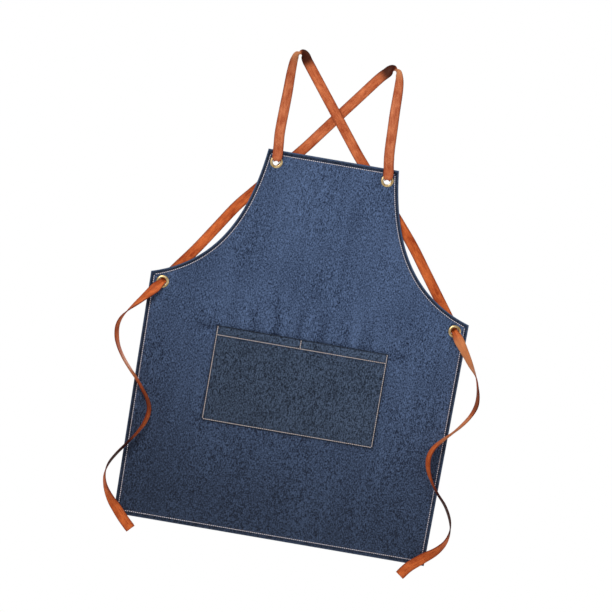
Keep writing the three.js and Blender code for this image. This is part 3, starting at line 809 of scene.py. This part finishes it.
def panel_field(loop, holes):
    """Triangles that fill the innermost ring, round the eyelet holes."""
    rows = np.arange(BOTTOM + 16, BIB_TOP - 14, CLOTH_STEP * 0.87)  # near-even triangles
    columns = np.arange(-WAIST_HALF, WAIST_HALF, CLOTH_STEP)
    x, z = np.meshgrid(columns, rows)
    x = x + (np.arange(len(rows)) % 2)[:, None] * CLOTH_STEP / 2
    inner = np.stack([x.ravel(), z.ravel()], axis=1)
    inner = inner[within(inner, loop)]
    near = np.full(len(inner), np.inf)
    for point in loop:
        near = np.minimum(near, np.hypot(*(inner - point).T))
    for circle in holes:
        near = np.minimum(near, np.hypot(*(inner - circle.mean(0)).T) - BARREL + 0.6)
    inner = inner[near > CLOTH_STEP * 0.55]
    rings = [loop, *holes]
    points = np.vstack([*rings, inner])
    outlines, first = [], 0
    for ring in rings:
        outlines.append(list(range(first, first + len(ring))))
        first += len(ring)
    found, _, triangles, origins, _, outlined = delaunay_2d_cdt(
        [Vector(p) for p in points], [], outlines, 0, 1e-5, True
    )
    points = np.array([tuple(p) for p in found])
    keep = [list(ids) == [0] for ids in outlined]
    order = np.array([ids[0] if ids else -1 for ids in origins])
    if len(found) != first + len(inner) or (order != np.arange(len(found))).any():
        raise ValueError("the panel's outline crosses itself")
    triangles = np.array([tuple(t) for t in triangles])
    return points, triangles[keep]


HOLE_POINTS = 28


def add_panel():
    parts = outline_parts()
    front, back = panel_rings(parts)
    border = closed([points for _, points, _ in parts])
    count = len(border)
    turns = np.linspace(0, 2 * math.pi, HOLE_POINTS, endpoint=False)
    circle = np.stack([np.cos(turns), np.sin(turns)], axis=1) * (BARREL - 0.1)
    holes = [circle + (x, z) for _, x, z in eyelet_places()]
    field, triangles = panel_field(front[-1][0], holes)

    middle = (CLOTH_FRONT + HEM_BACK) / 2
    flat, depth, hem, wear = [border], [np.full(count, middle)], [np.ones(count)], [np.full(count, 0.5)]
    faces = []

    def add_rings(rings, flip):
        last = 0
        for loop, y, dark, pale in rings:
            first = sum(map(len, flat))
            flat.append(loop)
            depth.append(np.broadcast_to(y, len(loop)))
            hem.append(dark)
            wear.append(np.broadcast_to(pale, len(loop)))
            for i in range(count):
                j = (i + 1) % count
                quad = (last + i, last + j, first + j, first + i)
                faces.append(quad[::-1] if flip else quad)
            last = first
        return last

    REVERSE = 0.45  # the cloth's wrong side is paler

    def add_field(last, y, flip):
        first = sum(map(len, flat))
        rest = field[count:]
        flat.append(rest)
        depth.append(np.full(len(rest), y))
        hem.append(np.zeros(len(rest)))
        # on the front, painted highlights and painted shade at the folds round the pocket; the wrong side is
        # paler
        wear.append(np.full(len(rest), REVERSE) if flip else painted_fold_light(rest[:, 0], rest[:, 1]))
        for triangle in triangles:
            named = tuple(int(last + i if i < count else first + i - count) for i in triangle)
            faces.append(named[::-1] if flip else named)
        return first

    front_field = add_field(add_rings(front, False), CLOTH_FRONT, False)
    back_field = add_field(add_rings(back, True), CLOTH_BACK, True)
    for k in range(len(holes)):
        for i in range(HOLE_POINTS):
            a = k * HOLE_POINTS + i
            b = k * HOLE_POINTS + (i + 1) % HOLE_POINTS
            faces.append((front_field + a, front_field + b, back_field + b, back_field + a))

    flat = np.vstack(flat)
    y = np.concatenate(depth) + drape(flat[:, 0], flat[:, 1])
    points = np.stack([flat[:, 0], y, flat[:, 1]], axis=1)
    attributes = {"hem": np.concatenate(hem), "wear": np.concatenate(wear)}
    panel = add_piece("panel_cloth", points, faces, DENIM, attributes)
    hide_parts("denim_panel")
    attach(panel, "apron")
    return panel, parts, front, back


# ---------- pocket ----------


def pocket_puff(x, z):
    """How far the pocket's mouth stands off the panel, between the side seams and the centre tack."""
    left = np.clip((x + SEAM_X) / (TACK_X + SEAM_X), 0, 1)
    right = np.clip((x - TACK_X) / (SEAM_X - TACK_X), 0, 1)
    span = np.where(x < TACK_X, np.sin(left * math.pi), np.sin(right * math.pi)) ** 1.3
    below = np.clip((POCKET_TOP - z) / 110, 0, 1)
    return 1.5 * span * (1 - smoothstep(0, 1, below))


def pocket_seam_gap(x, z):
    """Distance to the nearest line of stitches on the pocket."""
    sides = np.abs(np.abs(x) - SEAM_X)
    foot = np.abs(z - SEAM_FOOT)
    hem = np.abs(z - HEM_LINE)
    tack = np.where(z > HEM_LINE, np.abs(x - TACK_X), 99)
    return np.minimum(np.minimum(sides, foot), np.minimum(hem, tack))


def pocket_surface(x, z):
    """Depth of the pocket's front face."""
    groove = 0.42 * np.exp(-(pocket_seam_gap(x, z) / 0.9) ** 2)
    pull = 0.10 * np.exp(-(pocket_seam_gap(x, z) / 6) ** 2) * np.sin(x / 1.9 + 0.8 * np.sin(z / 9))
    fold = 0.16 * smoothstep(HEM_LINE - 1, HEM_LINE + 1, z)
    return drape(x, z) + POCKET_FRONT + groove + pull - fold - pocket_puff(x, z)


def grid_lines(low, high, marks):
    """Places across the pocket: close at the ends and at stitch lines, and even elsewhere."""
    EVEN_STEP = 4.5
    lines = np.linspace(low, high, round((high - low) / EVEN_STEP) + 1)
    close = [low + d for d in (0, 0.12, 0.45, 0.9)] + [high - d for d in (0, 0.12, 0.45, 0.9)]
    close += [mark + d for mark in marks for d in (-1.6, -0.7, 0, 0.7, 1.6)]
    lines = [v for v in lines if all(abs(v - c) > 1.2 for c in close)]
    return np.unique(np.round(lines + close, 3))


def add_pocket():
    xs = grid_lines(-POCKET_HALF, POCKET_HALF, (-SEAM_X, TACK_X, SEAM_X))
    zs = grid_lines(POCKET_BOTTOM, POCKET_TOP, (SEAM_FOOT, HEM_LINE))
    x, z = np.meshgrid(xs, zs)
    half = (POCKET_BACK - POCKET_FRONT) / 2
    gap = np.minimum(
        np.minimum(x + POCKET_HALF, POCKET_HALF - x), np.minimum(z - POCKET_BOTTOM, POCKET_TOP - z)
    )
    inside = np.clip(half - gap, 0, half)
    thick = np.sqrt(np.maximum(half ** 2 - inside ** 2, 0))
    front = pocket_surface(x, z) + half - thick
    back = drape(x, z) + POCKET_BACK - half + thick - pocket_puff(x, z)
    rows, columns = x.shape
    points = np.vstack([np.stack([x.ravel(), y.ravel(), z.ravel()], axis=1) for y in (front, back)])
    size = rows * columns
    merged = np.arange(2 * size)
    rim = np.zeros((rows, columns), bool)
    rim[[0, -1], :] = True
    rim[:, [0, -1]] = True
    merged[size:][rim.ravel()] = np.arange(size)[rim.ravel()]
    faces = []
    for r in range(rows - 1):
        for c in range(columns - 1):
            a = r * columns + c
            quad = (a, a + 1, a + 1 + columns, a + columns)
            faces.append(quad)
            faces.append(tuple(int(merged[size + i]) for i in reversed(quad)))
    used = np.unique(np.array(faces))
    number = {int(old): new for new, old in enumerate(used)}
    faces = [tuple(number[i] for i in face) for face in faces]
    seam_gap = pocket_seam_gap(x, z).ravel()
    border = np.where(gap.ravel() < 1.5, 1.0, 0.0)
    # darker at the pocket's edge, and painted shade in the grooves along each line of stitches
    hem = np.tile(np.maximum(border, 0.55 * np.exp(-(seam_gap / 2.5) ** 2)), 2)[used]
    # paler above the hem line, plus painted light that brightens the pocket towards the right
    paler_hem_and_painted_light = 0.24 * smoothstep(HEM_LINE - 1, HEM_LINE + 1, z) + 0.12 * x / POCKET_HALF
    wear = np.tile(0.4 * np.exp(-(gap.ravel() / 0.6) ** 2) + paler_hem_and_painted_light.ravel(), 2)[used]
    pocket = add_piece("pocket_cloth", points[used], faces, POCKET_DENIM, {"hem": hem, "wear": wear})
    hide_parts("pocket")
    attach(pocket, "apron")
    return pocket


# ---------- stitches ----------

STITCH_SIDES = 8
STITCH_RINGS = (  # (place along, fullness) from one end of a stitch to the other
    (-1.0, 0.0), (-0.96, 0.42), (-0.8, 0.78), (-0.4, 1.0), (0.4, 1.0), (0.8, 0.78), (0.96, 0.42), (1.0, 0.0),
)


def stitches(line, outward, pitch=STITCH_PITCH, length=STITCH_LENGTH, width=STITCH_WIDTH, rise=STITCH_RISE):
    """Points and faces of a row of stitches along a line, rounded and sunk at their ends."""
    along = lengths_along(line)
    count = max(1, int((along[-1] - 0.5) / pitch))
    spare = along[-1] - count * pitch
    places = spare / 2 + pitch * (np.arange(count) + 0.5)
    points, faces = [], []
    for place in places:
        ends = [place - length / 2, place + length / 2]
        a, b = (np.array([np.interp(e, along, line[:, k]) for k in range(3)]) for e in ends)
        centre, forward = (a + b) / 2, unit(b - a)
        sideways = unit(np.cross(forward, outward))
        tilt = rng.uniform(-0.10, 0.10)
        forward = unit(forward + sideways * tilt)
        sideways = unit(np.cross(forward, outward))
        size = rng.uniform(0.93, 1.07)
        first = len(points)
        for u, share in STITCH_RINGS:
            for k in range(STITCH_SIDES):
                turn = 2 * math.pi * k / STITCH_SIDES
                offset = sideways * math.cos(turn) * width / 2 * max(share, 0.12) * size
                offset = offset + outward * (math.sin(turn) * rise * max(share, 0.12) - 0.28 * (1 - share))
                points.append(centre + forward * (u * length / 2) + offset)
        faces += tube_faces(first, len(STITCH_RINGS), STITCH_SIDES)
        last = first + (len(STITCH_RINGS) - 1) * STITCH_SIDES
        faces.append(tuple(first + k for k in range(STITCH_SIDES)))
        faces.append(tuple(last + k for k in reversed(range(STITCH_SIDES))))
    return np.array(points), faces


def add_stitching(name, rows, material, slot, **sizes):
    """One piece from rows of stitches, each (line, outward). It stands for the CAD node of that name."""
    points, faces = [], []
    for line, outward in rows:
        more, ring = stitches(line, outward, **sizes)
        first = sum(map(len, points))
        points.append(more)
        faces += [tuple(first + i for i in face) for face in ring]
    piece = add_piece(f"{name}_stitches", np.vstack(points), faces, material)
    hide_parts(name)
    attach(piece, "apron")
    return piece


def add_panel_stitching(parts, front, back):
    made = []
    loops = [(front[FRONT_STITCH_RING], FRONT), (back[BACK_STITCH_RING], -FRONT)]
    first = 0
    for name, points, _ in parts:
        count = len(points) - 1
        rows = []
        for (loop, depth, _, _), outward in loops:
            picked = np.arange(first, first + count + 1) % len(loop)
            flat, y = loop[picked], np.broadcast_to(depth, len(loop))[picked]
            y = y + drape(flat[:, 0], flat[:, 1])
            rows.append((np.stack([flat[:, 0], y, flat[:, 1]], axis=1), outward))
        made.append(add_stitching(name, rows, THREAD, "tan_thread"))
        first += count
    return made


def on_pocket(corners):
    """A line over the pocket's face through [x, z] corners."""
    spans = zip(corners, corners[1:])
    flat = np.vstack([evenly(np.array([a, b], float), LINE_STEP) for a, b in spans])
    return np.stack([flat[:, 0], pocket_surface(flat[:, 0], flat[:, 1]), flat[:, 1]], axis=1)


def add_pocket_stitching():
    mouth = POCKET_TOP - 0.5
    edge = [(-SEAM_X, mouth), (-SEAM_X, SEAM_FOOT), (SEAM_X, SEAM_FOOT), (SEAM_X, mouth)]
    lines = {
        "edge": zip(edge, edge[1:]),
        "hem": [[(-SEAM_X, HEM_LINE), (SEAM_X, HEM_LINE)]],
        "tack": [[(TACK_X, mouth), (TACK_X, HEM_LINE)]],
    }
    made = []
    for name, spans in lines.items():
        rows = [(on_pocket(span), FRONT) for span in spans]
        made.append(add_stitching(f"thread_pocket_{name}", rows, POCKET_THREAD, "tan_thread"))
    return made


def add_box_stitching():
    """The square with a cross in it that holds each strap's folded end."""
    fine = {"pitch": 2.6, "length": 2.1, "width": 0.7, "rise": 0.32}
    face = STRAP_DEPTH - STRAP_HALF_THICK - 0.1
    w, h = BOX_WIDTH / 2, BOX_HEIGHT / 2
    corners = [(-w, -h), (w, -h), (w, h), (-w, h)]
    sides = list(zip(corners, corners[1:] + corners[:1]))
    cross = [(corners[0], corners[2]), (corners[1], corners[3])]
    for name, x in BOX_X.items():
        rows = [
            (np.array([(x + a[0], face, BOX_Z + a[1]), (x + b[0], face, BOX_Z + b[1])]), FRONT)
            for a, b in sides + cross
        ]
        add_stitching(f"box_stitch_{name}", rows, STRAP_THREAD, "strap_thread", **fine)


# ---------- eyelets ----------


def rounded(profile, times):
    """A closed profile with its corners cut, again and again."""
    profile = np.array(profile, float)
    for _ in range(times):
        after = np.roll(profile, -1, axis=0)
        cut = [profile * 0.75 + after * 0.25, profile * 0.25 + after * 0.75]
        profile = np.stack(cut, axis=1).reshape(-1, 2)
    return profile


def lathe(name, profile, x, z):
    """A ring turned about the front-to-back line through (x, z), from a closed (radius, depth) profile."""
    turns = np.linspace(0, 2 * math.pi, LATHE_STEPS, endpoint=False)
    points = [
        (x + r * math.cos(t), y, z + r * math.sin(t)) for t in turns for r, y in profile
    ]
    count = len(profile)
    faces = []
    for i in range(LATHE_STEPS):
        for j in range(count):
            a, b = i * count + j, i * count + (j + 1) % count
            c = ((i + 1) % LATHE_STEPS) * count
            faces.append((a, b, c + (j + 1) % count, c + j))
    # where the bore's painted shade falls, inside the hole
    bore_shade = 1 - smoothstep(HOLE + 0.1, HOLE + 1.3, profile[:, 0])
    return add_piece(name, points, faces, BRASS, {"bore_shade": np.tile(bore_shade, LATHE_STEPS)})


def add_eyelets():
    seat, lip = CLOTH_FRONT - 0.3, HEM_BACK + 1.4
    ring = [
        (HOLE, seat - 0.5), (HOLE + 0.5, seat - 1.3), (HOLE + 1.7, seat - 1.75), (HOLE + 3.4, seat - 1.6),
        (FLANGE - 0.7, seat - 0.9), (FLANGE, seat - 0.2), (FLANGE, seat + 0.1), (FLANGE - 1, seat),
        (BARREL + 1, seat), (BARREL, seat + 0.4), (BARREL, lip), (LIP, lip), (LIP, lip + 0.55),
        (LIP - 0.9, lip + 1.05), (HOLE + 0.6, lip + 0.9), (HOLE, lip + 0.3),
    ]
    front, back = HEM_BACK + 0.3, HEM_BACK + 1.1
    inner, outer = BARREL + 0.3, FLANGE - 0.3
    flat_ring = [
        (inner, front), (outer - 0.6, front), (outer, front + 0.1), (outer, back - 0.2), (outer - 0.6, back),
        (inner + 0.6, back), (inner, back - 0.2),
    ]
    for name, x, z in eyelet_places():
        for kind, profile in (("eyelet", ring), ("washer", flat_ring)):
            piece = lathe(f"{kind}_{name}_brass", rounded(profile, 2), x, z)
            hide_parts(f"{kind}_{name}")
            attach(piece, "apron")


# ---------- everything that rides on the panel ----------

panel, parts, front_rings, back_rings = add_panel()
pocket = add_pocket()
panel_threads = add_panel_stitching(parts, front_rings, back_rings)
pocket_threads = add_pocket_stitching()
add_box_stitching()
add_eyelets()

# ---------- floor, light and background ----------


def add_floor():
    HALF, HEIGHT = 7000, -1420
    corners = [(x * HALF, y * HALF, HEIGHT) for x, y in ((-1, -1), (1, -1), (1, 1), (-1, 1))]
    shader = Shader("floor")
    tone = shader.noise(shader.place(), scale=3, detail=2)
    color = shader.mix(tone, rgb(232, 231, 229), rgb(240, 240, 238))
    floor = add_piece("floor", corners, [(0, 1, 2, 3)], shader.finish(Base_Color=color, Roughness=0.8))


def add_area_light(name, place, target, size, power):
    data = bpy.data.lights.new(name, "AREA")
    data.size = size
    data.energy = power
    light = add_object(name, data)
    light.location = place
    light.rotation_euler = (Vector(target) - Vector(place)).to_track_quat("-Z", "Y").to_euler()


def add_background():
    """White behind the object, and a softer white as its fill light."""
    world = bpy.data.worlds.new("studio")
    bpy.context.scene.world = world
    world.use_nodes = True
    tree = world.node_tree
    fill = tree.nodes["Background"]
    fill.inputs["Color"].default_value = (1, 1, 1, 1)
    fill.inputs["Strength"].default_value = 0.33
    seen = tree.nodes.new("ShaderNodeBackground")
    seen.inputs["Color"].default_value = (1, 1, 1, 1)
    rays = tree.nodes.new("ShaderNodeLightPath")
    choose = tree.nodes.new("ShaderNodeMixShader")
    for i, socket in enumerate((rays.outputs["Is Camera Ray"], fill.outputs[0], seen.outputs[0])):
        tree.links.new(socket, choose.inputs[i])
    tree.links.new(choose.outputs[0], tree.nodes["World Output"].inputs[0])


add_floor()
add_area_light("key", (-1.1, -2.3, 1.0), (0, 0, -0.5), 0.9, 46)
add_area_light("side", (2.2, -1.8, -0.2), (0, 0, -0.5), 1.6, 9)
add_area_light("back", (0.6, 2.4, 0.8), (0, 0, -0.5), 1.6, 24)
add_background()
bpy.context.scene.view_settings.view_transform = "Standard"
